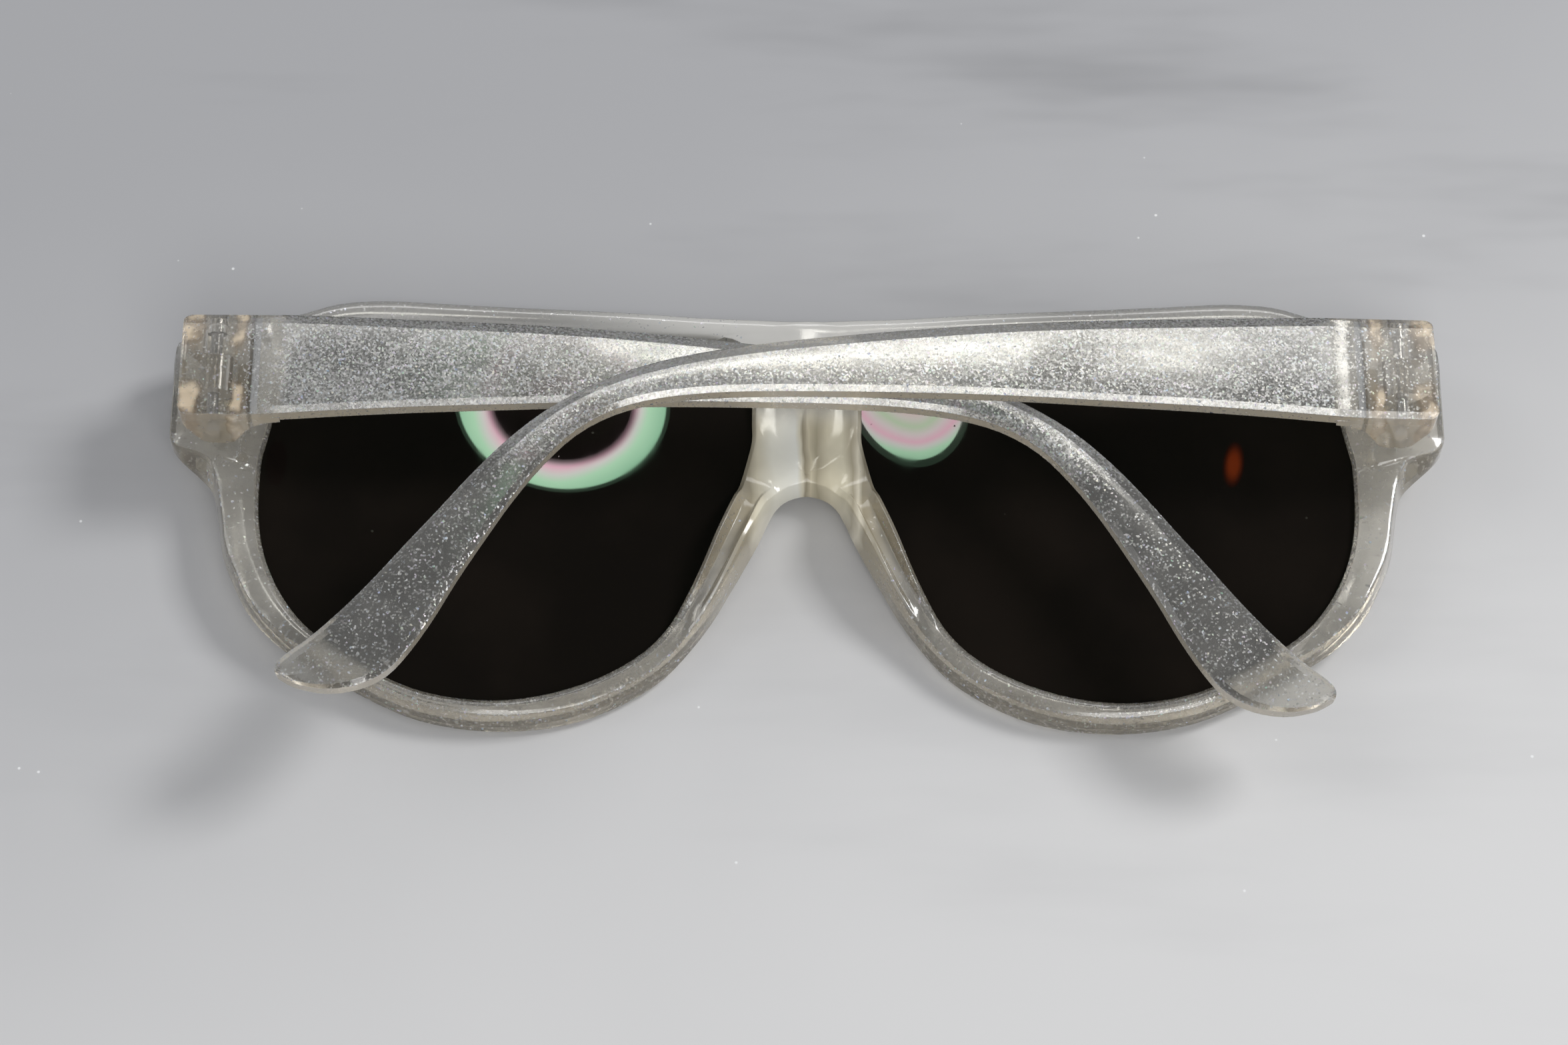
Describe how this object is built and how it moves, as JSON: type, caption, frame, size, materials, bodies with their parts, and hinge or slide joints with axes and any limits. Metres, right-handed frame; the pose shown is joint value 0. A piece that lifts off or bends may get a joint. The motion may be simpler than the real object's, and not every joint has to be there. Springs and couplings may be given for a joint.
{
  "type": "sunglasses",
  "caption": "Butterfly sunglasses with wide wing endpieces, deep rounded lenses, moulded nose pads and broad tapering temples that fold flat behind the front.",
  "frame": {"origin": "middle of the underside of the closed glasses' bounding box, on the table they lie on with the front face down", "axes": "+X across the face towards the wearer's right temple, +Y towards the brow, +Z from the front face towards the wearer"},
  "size_m": [0.1476, 0.0586, 0.0206],
  "materials": {
    "frame_plastic": "translucent smoky plastic with fine metallic flakes",
    "temple_plastic": "translucent smoky plastic with fine metallic flakes",
    "lens_tint": "very dark brown tinted lens with a gloss coating",
    "screw_steel": "small bright steel screw"
  },
  "bodies": {
    "front": {"front_frame": "frame_plastic", "lens_left": "lens_tint", "lens_right": "lens_tint"},
    "temple_left": {"temple_left": "temple_plastic", "hinge_screw_left": "screw_steel"},
    "temple_right": {"temple_right": "temple_plastic", "hinge_screw_right": "screw_steel"}
  },
  "joints": [
    {"name": "fold_left", "type": "hinge", "parent": "front", "child": "temple_left", "pos_m": [-0.068, 0.0132, 0.0121], "axis": [0, -1, 0], "range_deg": [0, 90]},
    {"name": "fold_right", "type": "hinge", "parent": "front", "child": "temple_right", "pos_m": [0.068, 0.0132, 0.0121], "axis": [0, 1, 0], "range_deg": [0, 87.7]}
  ]
}
